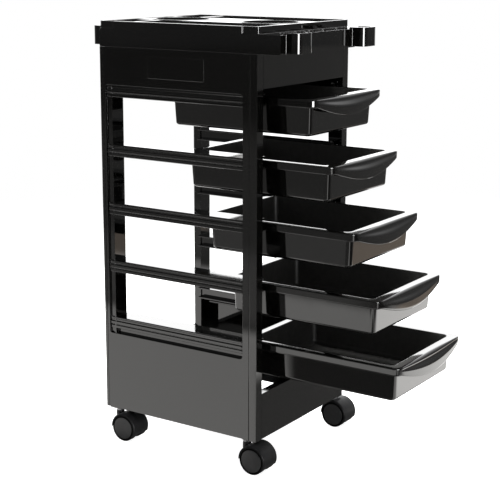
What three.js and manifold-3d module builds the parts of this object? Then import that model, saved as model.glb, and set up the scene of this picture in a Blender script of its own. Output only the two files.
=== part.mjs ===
// Rolling salon trolley: glossy black moulded frame with two ladder-sided panels,
// five pull-out tubs on C-channel runners, a top tray with bowls, compartments and
// tool loops, and four hooded twin-wheel casters.
// Millimetres, +Z up, +X to the right seen from the drawer side, -Y towards the user.
// The origin is the bottom centre of the bounding box with the drawers in their
// staggered, pulled-out rest positions.
import * as THREE from 'three';
import { mergeVertices } from 'three/addons/utils/BufferGeometryUtils.js';
import Module from 'manifold-3d';

// ---------- driving dimensions ----------
const SHIFT_Y = 131;            // frame centre to bounding-box centre
const HW = 171;                 // half width of the frame
const HD = 190;                 // half depth of the frame
const FRAME_BOTTOM = 65;        // underside of the panels
const BOSS_BOTTOM = 63.5;         // underside of the caster bosses
const FRAME_TOP = 825;          // top of the panels, the tray sits on it
const WALL = 3.2;               // moulded wall of the frame
const POST_W = 21;              // width of the front post seen from the front
const POST_D = 32.5;            // depth of the front post seen from the side
const REAR_POST_D = 28;         // depth of the rear post seen from the side
const REAR_POST_W = 37.6;       // width of the rear post
const REAR_TUBE_Y = 180;        // back of the rear post's tube
const RAIL_H = 24.5;            // height of a runner
const RAIL_PITCH = 121;         // spacing of the drawers
const RAIL1_BOTTOM = 724.3;     // underside of the top runner
const RAIL_REACH = 48;          // how far a runner reaches inwards
const RAIL_FLANGE = 3;          // thickness of a runner's shelf
const LOWER_PANEL_TOP = 229.5;  // top of the side panel's solid lower part
const APRON_BOTTOM = 759;       // lower edge of the upper front rail
const FRONT_PANEL_TOP = 159.5;  // top of the lower front and back panels
const GAP = 0.3;                // clearance where two pieces meet
// drawers
const RIM_HW = 135;             // half width over the rim
const BODY_HW = 121;            // half width of the tub under the rim
const BODY_TAPER = 2;           // how much each side draws in at the bottom
const RIM_Z1 = 742.5;           // rim top of the top drawer
const RIM_H = 14.9;             // height of the rim's skirt
const DRAWER_H = 71;            // whole height of a drawer
const BODY_L = 322;             // length of the tub
const LIP_OUT = 16;             // how far the front lip stands ahead of the tub
const LIP_FLARE = 6;            // extra flare of the lip's lower edge
const LIP_DROP = 38;            // depth of the lip at its middle
const DRAWER_WALL = 2.6;
const EXTENSION = [85.5, 127.5, 176.5, 230.5, 276];  // how far each drawer is pulled out
// tray
const TRAY_FRONT = 50.2;        // overhang of the tool ledge ahead of the frame
const LEDGE_Z = 862;
const DECK_Z = 875.2;
const RIM_TOP = 876;
const POCKET_FLOOR = 838;
const CUP_R = 59;
const CUP_Y = 109;
const HOLDER_W = 54, HOLDER_INSET = 20, HOLDER_F = 27.8, HOLDER_R = 36;
const HOLDER_Z0 = 827, HOLDER_Z1 = 865, HOLDER_BORE = 17.5;
// casters
const WHEEL_R = 28.5, WHEEL_W = 15, CASTER_HW = 24, WEB_HW = 8;
const HOOD_RI = 29.2, HOOD_RO = 31.2;
const TRAIL = 25;               // wheel centre ahead of the swivel axis
const STEM_X = 160, STEM_Y = 162;
const STEM_R = 5;
const AXLE_HL = 21.6;           // half length of the axle, hidden behind the wheels' closed outer faces

const wasm = await Module();
wasm.setup();

// ---------- solid helpers ----------
function solid(geometry) {
  const g = geometry.index ? geometry.clone() : geometry.clone();
  g.deleteAttribute('normal'); g.deleteAttribute('uv');
  const m = mergeVertices(g, 1e-4);
  return new wasm.Manifold(new wasm.Mesh({
    numProp: 3,
    vertProperties: new Float32Array(m.attributes.position.array),
    triVerts: new Uint32Array(m.index.array),
  }));
}
function toGeometry(manifold) {
  const m = manifold.getMesh();
  const n = m.numProp;
  const p = new Float32Array(m.vertProperties.length / n * 3);
  for (let i = 0; i < p.length / 3; i++) for (let k = 0; k < 3; k++) p[3 * i + k] = m.vertProperties[n * i + k];
  const g = new THREE.BufferGeometry();
  g.setAttribute('position', new THREE.BufferAttribute(p, 3));
  g.setIndex(new THREE.BufferAttribute(new Uint32Array(m.triVerts), 1));
  return g;
}
function box(x0, x1, y0, y1, z0, z1) {
  const g = new THREE.BoxGeometry(x1 - x0, y1 - y0, z1 - z0);
  g.translate((x0 + x1) / 2, (y0 + y1) / 2, (z0 + z1) / 2);
  return solid(g);
}
function roundedShape(x0, x1, y0, y1, r, seg = 4) {
  const pts = [];
  const rr = Array.isArray(r) ? r : [r, r, r, r];      // order: x0y0, x1y0, x1y1, x0y1
  const c = [[x0, y0, 1, 1, Math.PI], [x1, y0, -1, 1, 1.5 * Math.PI], [x1, y1, -1, -1, 0], [x0, y1, 1, -1, 0.5 * Math.PI]];
  c.forEach(([x, y, sx, sy, a0], i) => {
    const q = rr[i];
    if (q <= 0) { pts.push(new THREE.Vector2(x, y)); return; }
    for (let k = 0; k <= seg; k++) {
      const a = a0 + (k / seg) * Math.PI / 2;
      pts.push(new THREE.Vector2(x + sx * q + q * Math.cos(a), y + sy * q + q * Math.sin(a)));
    }
  });
  return new THREE.Shape(pts);
}
function prismZ(shape, z0, z1) {
  const g = new THREE.ExtrudeGeometry(shape, { depth: z1 - z0, bevelEnabled: false, curveSegments: 8 });
  g.translate(0, 0, z0);
  return g;
}
const rbox = (x0, x1, y0, y1, z0, z1, r, seg) => solid(prismZ(roundedShape(x0, x1, y0, y1, r, seg), z0, z1));
// a rounded box that draws in towards its bottom by `inset` on every side
function tub(x0, x1, y0, y1, z0, z1, r, inset, seg = 4) {
  const g = prismZ(roundedShape(x0, x1, y0, y1, r, seg), z0, z1);
  const p = g.attributes.position, cx = (x0 + x1) / 2, cy = (y0 + y1) / 2;
  const sx = 1 - inset / ((x1 - x0) / 2), sy = 1 - inset / ((y1 - y0) / 2);
  for (let i = 0; i < p.count; i++) if (p.getZ(i) < (z0 + z1) / 2) {
    p.setX(i, cx + (p.getX(i) - cx) * sx); p.setY(i, cy + (p.getY(i) - cy) * sy);
  }
  return solid(g);
}
function cylinder(axis, a, b, c0, c1, r, seg = 24, r2 = r) {
  // axis 'z': a=x, b=y; axis 'x': a=y, b=z; axis 'y': a=x, b=z; c0..c1 along the axis, r at c1, r2 at c0
  const g = new THREE.CylinderGeometry(r, r2, c1 - c0, seg);
  if (axis === 'z') { g.rotateX(Math.PI / 2); g.translate(a, b, (c0 + c1) / 2); }
  if (axis === 'x') { g.rotateZ(-Math.PI / 2); g.translate((c0 + c1) / 2, a, b); }
  if (axis === 'y') { g.translate(a, (c0 + c1) / 2, b); }
  return solid(g);
}
const join = (list) => list.reduce((a, b) => a.add(b));
const cut = (a, list) => list.reduce((m, b) => m.subtract(b), a);
function mirrorX(geometry) {
  const g = geometry.clone();
  const p = g.attributes.position, ix = g.index;
  for (let i = 0; i < p.count; i++) p.setX(i, -p.getX(i));
  for (let i = 0; i < ix.count; i += 3) { const t = ix.getX(i); ix.setX(i, ix.getX(i + 1)); ix.setX(i + 1, t); }
  return g;
}

// ---------- materials ----------
const ABS = () => new THREE.MeshStandardMaterial({ color: 0x0b0b0c, roughness: 0.12, metalness: 0 });
const NYLON = () => new THREE.MeshStandardMaterial({ color: 0x2a2a2c, roughness: 0.5, metalness: 0 });
const WHEEL = () => new THREE.MeshStandardMaterial({ color: 0x323234, roughness: 0.45, metalness: 0 });
const STEEL = () => new THREE.MeshStandardMaterial({ color: 0xa8abb0, roughness: 0.3, metalness: 1 });
const SCREW = () => new THREE.MeshStandardMaterial({ color: 0x3a3a3c, roughness: 0.4, metalness: 1 });

const trolley = new THREE.Group();
trolley.position.set(0, SHIFT_Y, 0);
function put(name, geometry, material) {
  const mesh = new THREE.Mesh(geometry, material);
  mesh.name = name;
  trolley.add(mesh);
  return mesh;
}

// ---------- side panels ----------
const railBottom = [0, 1, 2, 3, 4].map((k) => RAIL1_BOTTOM - k * RAIL_PITCH);
const winY0 = -HD + POST_D, winY1 = HD - REAR_POST_D;
function leftPanel() {
  const x = -HW;
  const parts = [box(x, x + WALL, -HD, HD, FRAME_BOTTOM, FRAME_TOP)];
  // front post: a box section open at its top
  parts.push(box(x, x + POST_W, -HD, -HD + WALL, FRAME_BOTTOM, FRAME_TOP));
  parts.push(box(x, x + POST_W, winY0 - WALL, winY0, FRAME_BOTTOM, FRAME_TOP));
  parts.push(box(x + POST_W - WALL, x + POST_W, -HD, winY0, FRAME_BOTTOM, FRAME_TOP));
  // rear post: a tube with an outer return behind it
  parts.push(box(x, x + REAR_POST_W, winY1, winY1 + WALL, FRAME_BOTTOM, FRAME_TOP));
  parts.push(box(x, x + REAR_POST_W, REAR_TUBE_Y - WALL, REAR_TUBE_Y, FRAME_BOTTOM, FRAME_TOP));
  parts.push(box(x + REAR_POST_W - WALL, x + REAR_POST_W, winY1, REAR_TUBE_Y, FRAME_BOTTOM, FRAME_TOP));
  parts.push(box(x, x + 11, HD - WALL, HD, FRAME_BOTTOM, FRAME_TOP));
  // caster bosses
  const bosses = [box(x, x + POST_W, -HD, winY0, BOSS_BOTTOM, 108), box(x, x + POST_W, HD - 36, REAR_TUBE_Y, BOSS_BOTTOM, 108)];
  let plate = join(parts);
  // windows
  const cuts = [];
  for (let k = 0; k < 4; k++) cuts.push(box(x - 1, x + WALL + 0.5, winY0, winY1, railBottom[k + 1] + RAIL_H, railBottom[k]));
  cuts.push(box(x - 1, x + WALL + 0.5, winY0, winY1, LOWER_PANEL_TOP, railBottom[4]));
  // vertical grooves down both posts
  cuts.push(box(x - 1, x + 1.2, -HD + 16, -HD + 18, BOSS_BOTTOM - 1, FRAME_TOP + 1));
  cuts.push(box(x - 1, x + 1.2, HD - 13, HD - 11, BOSS_BOTTOM - 1, FRAME_TOP + 1));
  plate = plate.add(join(bosses));
  plate = cut(plate, cuts);
  // runners: a closed box against the outer web and a C-channel facing inwards
  const rails = [];
  for (let k = 0; k < 5; k++) {
    const z = railBottom[k];
    rails.push(box(x, x + RAIL_REACH, -HD + 12, winY1 + 1, z, z + RAIL_FLANGE));
    rails.push(box(x, x + RAIL_REACH, -HD + 12, winY1 + 1, z + RAIL_H - RAIL_FLANGE, z + RAIL_H));
    rails.push(box(x + 32.4, x + 34.8, -HD + 12, winY1 + 1, z, z + RAIL_H));
  }
  // flanges that stiffen the solid parts
  const flanges = [
    box(x, x + POST_W, winY0 - 1, winY1 + 1, FRAME_TOP - WALL, FRAME_TOP),
    box(x, x + POST_W, winY0 - 1, winY1 + 1, LOWER_PANEL_TOP - WALL, LOWER_PANEL_TOP),
    box(x, x + POST_W, winY0 - 1, winY1 + 1, FRAME_BOTTOM, FRAME_BOTTOM + WALL),
    box(x - 0.6, x + 0.5, -68, 68, 766.8, 810),           // plain raised name plate field
    box(x + 9.5, x + 12, winY0 - 1, winY1 + 1, LOWER_PANEL_TOP - 1, railBottom[4] + 1),   // closes the slot under the lowest runner
  ];
  let m = plate.add(join(rails)).add(join(flanges));
  const holes = [];
  for (const sy of [-1, 1]) holes.push(cylinder('z', -STEM_X, sy * STEM_Y, BOSS_BOTTOM - 1, 101, 7.5, 14));
  for (const y of [-140, 140]) holes.push(cylinder('z', x + 12.5, y, FRAME_TOP - WALL - 1, FRAME_TOP + 1, 2.4, 8));
  for (const z of [95, 135, 772, 812]) holes.push(cylinder('x', -176, z, x + 11, x + POST_W + 1, 2.4, 8));
  for (const z of [95, 135, 772, 812]) holes.push(cylinder('y', -144, z, REAR_TUBE_Y - WALL - 1, REAR_TUBE_Y + 1, 2.4, 8));
  return toGeometry(cut(m, holes));
}
const panel = leftPanel();
put('left_side_panel', panel, ABS());
put('right_side_panel', mirrorX(panel), ABS());

// ---------- cross members ----------
const frontHW = HW - POST_W - GAP;
function frontMember(z0, z1) {
  const m = join([
    box(-frontHW, frontHW, -HD, -HD + WALL, z0, z1),
    box(-frontHW, frontHW, -HD, -HD + 16, z1 - WALL, z1),
    box(-frontHW, frontHW, -HD, -HD + 12, z0, z0 + WALL),
    box(-frontHW, -frontHW + WALL, -HD, -HD + 26, z0, z1),
    box(frontHW - WALL, frontHW, -HD, -HD + 26, z0, z1),
  ]);
  return m;
}
function sideHoles(zs) {
  const h = [];
  for (const z of zs) h.push(cylinder('x', -176, z, -160, 160, 2.4, 8));
  return h;
}
put('upper_front_rail', toGeometry(cut(frontMember(APRON_BOTTOM, FRAME_TOP), sideHoles([772, 812]))), ABS());
put('lower_front_panel', toGeometry(cut(frontMember(FRAME_BOTTOM, FRONT_PANEL_TOP), sideHoles([95, 135]))), ABS());

const backHW = 157, backY0 = REAR_TUBE_Y + GAP, backY1 = REAR_TUBE_Y + GAP + WALL;
const innerX = HW - REAR_POST_W - GAP;
function backMember(z0, z1, up) {
  // plate overlapping the posts, with a stiffening shelf between them and a filleted sweep up (or down) at each post
  const r = 14, pts = [];
  if (up) {
    pts.push([-backHW, z0], [backHW, z0], [backHW, z1 + r], [innerX, z1 + r]);
    for (let k = 1; k <= 5; k++) { const a = k / 5 * Math.PI / 2; pts.push([innerX - r * Math.sin(a) - 0, z1 + r - r * (1 - Math.cos(a)) - 0]); }
    // mirror of the fillet: from the centre side back to the left post
    for (let k = 5; k >= 1; k--) { const a = k / 5 * Math.PI / 2; pts.push([-innerX + r * Math.sin(a), z1 + r - r * (1 - Math.cos(a))]); }
    pts.push([-innerX, z1 + r], [-backHW, z1 + r]);
  } else {
    pts.push([-backHW, z0], [backHW, z0], [backHW, z1], [-backHW, z1]);
  }
  const g = new THREE.ExtrudeGeometry(new THREE.Shape(pts.map((p) => new THREE.Vector2(p[0], p[1]))), { depth: WALL, bevelEnabled: false });
  g.rotateX(Math.PI / 2);            // (x, y, z) -> (x, -z, y)
  g.translate(0, backY1, 0);
  const shelf = box(-innerX, innerX, backY0 - 14, backY1, z0, z0 + WALL);
  const shelf2 = box(-innerX + r, innerX - r, backY0 - 14, backY1, z1 - WALL, z1);
  const zs = z0 > 400 ? [772, 812] : [95, 135];
  const holes = [];
  for (const z of zs) for (const s of [-1, 1]) holes.push(cylinder('y', s * 144, z, backY0 - 1, backY1 + 1, 2.4, 8));
  return toGeometry(cut(solid(g).add(shelf).add(shelf2), holes));
}
put('upper_back_rail', backMember(749, FRAME_TOP, false), ABS());
put('lower_back_panel', backMember(FRAME_BOTTOM, FRONT_PANEL_TOP, true), ABS());

// ---------- screws ----------
function screwX(sign, y, z) {      // head on the inner side of a cross member's end flange
  const x0 = frontHW - WALL;        // inner face of the flange
  const h = sign > 0 ? cylinder('x', y, z, x0 - 2.6 - GAP, x0 - GAP, 4.2, 8) : cylinder('x', y, z, -x0 + GAP, -x0 + GAP + 2.6, 4.2, 8);
  const s = sign > 0 ? cylinder('x', y, z, x0 - 1, x0 + 11, 2, 8) : cylinder('x', y, z, -x0 - 11, -x0 + 1, 2, 8);
  return h.add(s);
}
let n1 = 0, n2 = 0, n3 = 0;
for (const z of [95, 135, 772, 812]) for (const s of [-1, 1]) {
  put('front_screw_' + (++n1), toGeometry(screwX(s, -176, z)), SCREW());
  put('back_screw_' + (++n2), toGeometry(cylinder('y', s * 144, z, backY1 + GAP, backY1 + GAP + 2.6, 4.2, 8)
    .add(cylinder('y', s * 144, z, backY1 - 12, backY1 + 1, 2, 8))), SCREW());
}
for (const y of [-140, 140]) for (const s of [-1, 1])
  put('tray_screw_' + (++n3), toGeometry(cylinder('z', s * (HW - 12.5), y, FRAME_TOP - WALL - GAP - 2.6, FRAME_TOP - WALL - GAP, 4.2, 8)
    .add(cylinder('z', s * (HW - 12.5), y, FRAME_TOP - WALL - 1, 834, 2, 8))), SCREW());

// ---------- top tray ----------
function tray() {
  const z0 = FRAME_TOP + GAP, f = -HD - TRAY_FRONT, w = 3;
  const parts = [];
  // outer skirt with the tool ledge on top
  let skirt = rbox(-HW, HW, f, HD, z0, LEDGE_Z, [9, 9, 2, 2], 3);
  skirt = skirt.subtract(rbox(-HW + w, HW - w, f + w, HD - w, z0 - 1, LEDGE_Z - w, [7, 7, 1, 1], 3));
  parts.push(skirt);
  // raised rim and deck
  parts.push(box(-HW, HW, -155, 155, LEDGE_Z - 1, RIM_TOP));
  parts.push(box(-HW + 3.5, HW - 3.5, -HD, HD, LEDGE_Z - 1, RIM_TOP));
  let body = join(parts);
  // hollow underside of the raised part and the lowered deck inside the rim
  body = body.subtract(box(-HW + 6, HW - 6, -HD + w, HD - w, LEDGE_Z - w - 0.5, DECK_Z - 2.5));
  body = body.subtract(box(-HW + 6.5, HW - 6.5, -HD + 5, HD - 5, DECK_Z, RIM_TOP + 1));
  // pocket tubs, the bowls' tubs and screw bosses
  const pockets = [];
  for (const s of [-1, 1]) {
    const a = s < 0 ? -163 : 66, b = s < 0 ? -66 : 163;
    pockets.push([a, b, 118, 181], [a, b, -181, 109]);
  }
  const outer = [], inner = [];
  for (const [a, b, c, d] of pockets) {
    outer.push(tub(a - 2.3, b + 2.3, c - 2.3, d + 2.3, POCKET_FLOOR - 2.5, DECK_Z - 1, 10, 3, 2));
    inner.push(tub(a, b, c, d, POCKET_FLOOR, DECK_Z + 1, 8, 3, 2));
  }
  for (const s of [-1, 1]) {
    outer.push(cylinder('z', 0, s * CUP_Y, POCKET_FLOOR - 2.5, DECK_Z - 1, CUP_R + 2.3, 24, CUP_R - 6));
    // a low collar round each bowl
    outer.push(cylinder('z', 0, s * CUP_Y, DECK_Z - 1, DECK_Z + 0.6, CUP_R + 4, 24));
    inner.push(cylinder('z', 0, s * CUP_Y, POCKET_FLOOR, DECK_Z + 3, CUP_R, 24, CUP_R - 8));
  }
  for (const y of [-140, 140]) for (const s of [-1, 1]) outer.push(cylinder('z', s * (HW - 12.5), y, z0, POCKET_FLOOR - 0.5, 5, 8));
  // corner loops for tools
  const loops = [], bores = [];
  for (const s of [-1, 1]) {
    const a = s < 0 ? -HW + HOLDER_INSET : HW - HOLDER_INSET - HOLDER_W, b = a + HOLDER_W;
    loops.push(rbox(a, b, f - HOLDER_F, f + 14, HOLDER_Z0, HOLDER_Z1, [9, 9, 2, 2], 3));
    loops.push(rbox(a, b, HD - 4, HD + HOLDER_R, HOLDER_Z0, HOLDER_Z1, [2, 2, 9, 9], 3));
    bores.push(cylinder('z', (a + b) / 2, f - HOLDER_F + 3.5 + HOLDER_BORE, 820, 880, HOLDER_BORE, 16));
    bores.push(cylinder('z', (a + b) / 2, HD + HOLDER_R - 2.8 - 16, 820, 880, 16, 16));
  }
  body = body.add(join(outer)).add(join(loops));
  body = cut(body, inner);
  body = cut(body, bores);
  // row of tool holes through the ledge
  const holes = [];
  for (const x of [-104, -52, 0, 52, 104]) holes.push(cylinder('z', x, -HD - 24, LEDGE_Z - 8, LEDGE_Z + 4, 14.5, 14));
  for (const y of [-140, 140]) for (const s of [-1, 1]) holes.push(cylinder('z', s * (HW - 12.5), y, z0 - 1, POCKET_FLOOR - 3, 2.3, 8));
  return toGeometry(cut(body, holes));
}
put('top_tray', tray(), ABS());

// ---------- drawers ----------
function lipDepth(x) { return RIM_H + (LIP_DROP - RIM_H) * Math.max(0, Math.cos(Math.PI * x / 244)); }
function drawer(k) {
  const e = EXTENSION[k], zt = RIM_Z1 - k * RAIL_PITCH, zb = zt - DRAWER_H;
  const yf = -HD - e, yb = yf + BODY_L;                 // tub front and back at the rim
  const t = DRAWER_WALL;
  const yr0 = yf - LIP_OUT, yr1 = yb + 14;              // rim front and back
  let outer = tub(-BODY_HW, BODY_HW, yf, yb, zb, zt - 0.5, 10, BODY_TAPER + 1, 3);
  // rim: a flat flange with a hanging skirt
  const flange = rbox(-RIM_HW, RIM_HW, yr0, yr1, zt - t, zt, [16, 16, 12, 12], 3);
  const skirt = rbox(-RIM_HW, RIM_HW, yr0, yr1, zt - RIM_H, zt, [16, 16, 12, 12], 3)
    .subtract(rbox(-RIM_HW + t, RIM_HW - t, yr0 + t, yr1 - t, zt - RIM_H - 1, zt + 1, [13.5, 13.5, 9.5, 9.5], 3));
  // front lip: a curved apron under the front edge, deepest in the middle and flaring forwards
  const n = 12, top = [], low = [];
  for (let i = 0; i <= n; i++) {
    const x = -117 + 234 * i / n;
    low.push(new THREE.Vector2(x, zt - lipDepth(x)));
    top.push(new THREE.Vector2(x, zt - RIM_H + 4));
  }
  const g = new THREE.ExtrudeGeometry(new THREE.Shape(low.concat(top.reverse())), { depth: t, bevelEnabled: false });
  g.rotateX(Math.PI / 2);
  g.translate(0, yr0 + t, 0);
  const p = g.attributes.position;
  for (let i = 0; i < p.count; i++) {
    const d = Math.max(0, (zt - RIM_H + 4 - p.getZ(i)) / (LIP_DROP - RIM_H + 4));
    p.setY(i, p.getY(i) - LIP_FLARE * d);
  }
  let m = outer.add(flange).add(skirt).add(solid(g));
  const inner = tub(-BODY_HW + t, BODY_HW - t, yf + t + 3, yb - t, zb + t, zt + 1, 8, BODY_TAPER + 1, 3);
  return toGeometry(m.subtract(inner));
}
for (let k = 0; k < 5; k++) put('drawer_' + (k + 1), drawer(k), ABS());

// ---------- casters ----------
function sector(r0, r1, a0, a1, x0, x1, n = 14) {
  // ring sector about the wheel axis; angle 0 points to -Y, 90 degrees points up
  const pts = [];
  for (let i = 0; i <= n; i++) { const a = a0 + (a1 - a0) * i / n; pts.push([r1 * Math.cos(a), r1 * Math.sin(a)]); }
  for (let i = n; i >= 0; i--) { const a = a0 + (a1 - a0) * i / n; pts.push([r0 * Math.cos(a), r0 * Math.sin(a)]); }
  const g = new THREE.ExtrudeGeometry(new THREE.Shape(pts.map((p) => new THREE.Vector2(p[0], p[1]))), { depth: x1 - x0, bevelEnabled: false });
  // shape x -> -Y, shape y -> Z, depth -> -X
  const m = new THREE.Matrix4().set(0, 0, -1, x1, -1, 0, 0, 0, 0, 1, 0, 0, 0, 0, 0, 1);
  g.applyMatrix4(m);
  return g;
}
const D2R = Math.PI / 180;
function hoodSolid() {
  // local frame: wheel axis at the origin, swivel axis at y = +TRAIL
  let m = solid(sector(HOOD_RI, HOOD_RO, -22 * D2R, 182 * D2R, -CASTER_HW, CASTER_HW, 12));
  m = m.add(solid(sector(3.4, HOOD_RI + 1, -22 * D2R, 182 * D2R, -WEB_HW, WEB_HW, 12)));
  m = m.add(cylinder('x', 0, 0, -WEB_HW, WEB_HW, 9, 12));
  m = m.add(cylinder('z', 0, TRAIL, 6, 30.2, 8, 14));
  m = m.subtract(cylinder('x', 0, 0, -WEB_HW - 1, WEB_HW + 1, 3.3, 10));
  m = m.subtract(cylinder('z', 0, TRAIL, 9, 40, STEM_R + 0.3, 14));
  return m;
}
const hood = toGeometry(hoodSolid());
function wheelGeometry() {
  // profile (radius, position along the axis); tread with rounded shoulders and a dished face
  const w = WHEEL_W / 2, R = WHEEL_R;
  const prof = [[3.4, -w], [R - 2, -w], [R, -w + 2], [R, w - 2.4], [R - 2.4, w], [3.4, w], [3.4, -w]];
  const g = new THREE.LatheGeometry(prof.map(([r, a]) => new THREE.Vector2(r, a)), 24);
  g.rotateZ(-Math.PI / 2);            // lathe axis Y -> +X
  return g;
}
const wheelG = toGeometry(solid(wheelGeometry()).add(cylinder('x', 0, 0, WHEEL_W / 2 - 1.6, WHEEL_W / 2, 3.9, 24)));
const wheelMid = WEB_HW + 0.6 + WHEEL_W / 2;
for (const [tag, sx, sy] of [['fl', -1, -1], ['fr', 1, -1], ['rl', -1, 1], ['rr', 1, 1]]) {
  const x = sx * STEM_X, y = sy * STEM_Y, zc = WHEEL_R;
  put('caster_socket_' + tag, toGeometry(cylinder('z', x, y, BOSS_BOTTOM, 100.5, 7.2, 14).subtract(cylinder('z', x, y, BOSS_BOTTOM - 1, 99, STEM_R + 0.3, 14))), NYLON());
  put('caster_stem_' + tag, toGeometry(cylinder('z', x, y, zc + 9.5, 98, STEM_R, 14).add(cylinder('z', x, y, 59.1, 61.7, 7.6, 14))), STEEL());
  const c = new THREE.Group();
  c.position.set(x, y - TRAIL, zc);
  trolley.add(c);
  const h = new THREE.Mesh(hood.clone(), NYLON()); h.name = 'caster_hood_' + tag; c.add(h);
  const ax = new THREE.Mesh(toGeometry(cylinder('x', 0, 0, -AXLE_HL, AXLE_HL, 3, 10)), STEEL()); ax.name = 'caster_axle_' + tag; c.add(ax);
  const left = new THREE.Mesh(mirrorX(wheelG), WHEEL()); left.name = 'caster_wheel_left_' + tag; left.position.set(-wheelMid, 0, 0); c.add(left);
  const right = new THREE.Mesh(wheelG.clone(), WHEEL()); right.name = 'caster_wheel_right_' + tag; right.position.set(wheelMid, 0, 0); c.add(right);
}

export default trolley;
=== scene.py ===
import math
import bpy
import bmesh
import numpy as np
from mathutils import Matrix, Vector


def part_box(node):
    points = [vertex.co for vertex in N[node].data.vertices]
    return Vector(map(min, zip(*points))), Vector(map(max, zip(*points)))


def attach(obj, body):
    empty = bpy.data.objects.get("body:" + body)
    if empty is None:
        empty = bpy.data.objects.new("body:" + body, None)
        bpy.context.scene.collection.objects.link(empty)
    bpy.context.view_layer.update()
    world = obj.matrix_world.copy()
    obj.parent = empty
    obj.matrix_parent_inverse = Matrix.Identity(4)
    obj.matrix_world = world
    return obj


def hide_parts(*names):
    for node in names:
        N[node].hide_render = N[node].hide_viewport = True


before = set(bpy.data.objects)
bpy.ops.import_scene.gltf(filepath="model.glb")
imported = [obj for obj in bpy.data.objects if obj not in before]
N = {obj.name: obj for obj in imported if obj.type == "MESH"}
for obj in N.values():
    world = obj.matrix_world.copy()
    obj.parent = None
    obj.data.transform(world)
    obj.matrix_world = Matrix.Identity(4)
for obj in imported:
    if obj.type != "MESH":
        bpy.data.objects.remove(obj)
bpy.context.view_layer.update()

SC = bpy.context.scene
MM = 0.001

# ------------------------------------------------------------------ node materials


def new_material(name):
    m = bpy.data.materials.new(name)
    m.use_nodes = True
    nt = m.node_tree
    nt.nodes.clear()
    out = nt.nodes.new("ShaderNodeOutputMaterial")
    b = nt.nodes.new("ShaderNodeBsdfPrincipled")
    nt.links.new(b.outputs["BSDF"], out.inputs["Surface"])
    return m, nt, b


def noise(nt, scale, detail=2.0, rough=0.5, vec=None, dist=0.0):
    n = nt.nodes.new("ShaderNodeTexNoise")
    n.inputs["Scale"].default_value = scale
    n.inputs["Detail"].default_value = detail
    n.inputs["Roughness"].default_value = rough
    n.inputs["Distortion"].default_value = dist
    if vec is not None:
        nt.links.new(vec, n.inputs["Vector"])
    return n.outputs["Fac"]


def ramp(nt, fac, stops):
    r = nt.nodes.new("ShaderNodeValToRGB")
    els = r.color_ramp.elements
    els[0].position, els[0].color = stops[0][0], (*stops[0][1], 1)
    els[1].position, els[1].color = stops[-1][0], (*stops[-1][1], 1)
    for p, c in stops[1:-1]:
        e = els.new(p)
        e.color = (*c, 1)
    nt.links.new(fac, r.inputs["Fac"])
    return r.outputs["Color"]


def spread(nt, fac, lo, hi, f0=0.3, f1=0.7):
    r = nt.nodes.new("ShaderNodeMapRange")
    r.inputs["From Min"].default_value = f0
    r.inputs["From Max"].default_value = f1
    r.inputs["To Min"].default_value = lo
    r.inputs["To Max"].default_value = hi
    nt.links.new(fac, r.inputs["Value"])
    return r.outputs["Result"]


def bump(nt, height, distance, strength=1.0, under=None):
    b = nt.nodes.new("ShaderNodeBump")
    b.inputs["Strength"].default_value = strength
    b.inputs["Distance"].default_value = distance
    nt.links.new(height, b.inputs["Height"])
    if under is not None:
        nt.links.new(under, b.inputs["Normal"])
    return b.outputs["Normal"]


def offset_coords(nt, shift, scale=(1, 1, 1)):
    tc = nt.nodes.new("ShaderNodeTexCoord")
    mp = nt.nodes.new("ShaderNodeMapping")
    mp.inputs["Location"].default_value = shift
    mp.inputs["Scale"].default_value = scale
    nt.links.new(tc.outputs["Object"], mp.inputs["Vector"])
    return mp.outputs["Vector"]


def gloss_black(name, shift, dark=(0.0008, 0.0008, 0.0007), light=(0.0019, 0.0018, 0.0016), rough=(0.035, 0.075), wave=0.00035):
    """Injection-moulded black ABS: deep black, mirror-like, faint moulding waves, soft haze and wiped smears."""
    m, nt, b = new_material(name)
    v = offset_coords(nt, shift)
    nt.links.new(ramp(nt, noise(nt, 7, 4, 0.55, v), [(0.3, dark), (0.7, light)]), b.inputs["Base Color"])
    haze = noise(nt, 16, 5, 0.6, v, 0.4)
    nt.links.new(spread(nt, haze, rough[0], rough[1]), b.inputs["Roughness"])
    fine = bump(nt, noise(nt, 1400, 1.5, 0.5, v), 0.000004, 0.6)
    nt.links.new(bump(nt, noise(nt, 11, 1.5, 0.4, v), wave, 0.5, fine), b.inputs["Normal"])
    b.inputs["IOR"].default_value = 1.52
    return m


def satin_nylon(name, shift, dark, light, rough=(0.34, 0.48), grain=2200, depth=0.00003, level=0.3):
    """Satin moulded nylon: fine spark-eroded grain with scuffed, slightly lighter patches."""
    m, nt, b = new_material(name)
    v = offset_coords(nt, shift)
    nt.links.new(ramp(nt, noise(nt, 90, 5, 0.6, v), [(0.25, dark), (0.75, light)]), b.inputs["Base Color"])
    nt.links.new(spread(nt, noise(nt, 160, 4, 0.6, v), rough[0], rough[1]), b.inputs["Roughness"])
    g = bump(nt, noise(nt, grain, 2, 0.6, v), depth, 0.5)
    nt.links.new(bump(nt, noise(nt, 60, 2, 0.5, v), 0.0001, 0.3, g), b.inputs["Normal"])
    b.inputs["Specular IOR Level"].default_value = level
    return m


def worn_metal(name, shift, base, bright, rough=(0.22, 0.42), stretch=(1, 1, 14)):
    m, nt, b = new_material(name)
    v = offset_coords(nt, shift, stretch)
    nt.links.new(ramp(nt, noise(nt, 260, 4, 0.6, v), [(0.3, base), (0.7, bright)]), b.inputs["Base Color"])
    nt.links.new(spread(nt, noise(nt, 420, 3, 0.6, v), rough[0], rough[1]), b.inputs["Roughness"])
    nt.links.new(bump(nt, noise(nt, 900, 2, 0.5, v), 0.00003, 0.4), b.inputs["Normal"])
    b.inputs["Metallic"].default_value = 1.0
    return m


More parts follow.
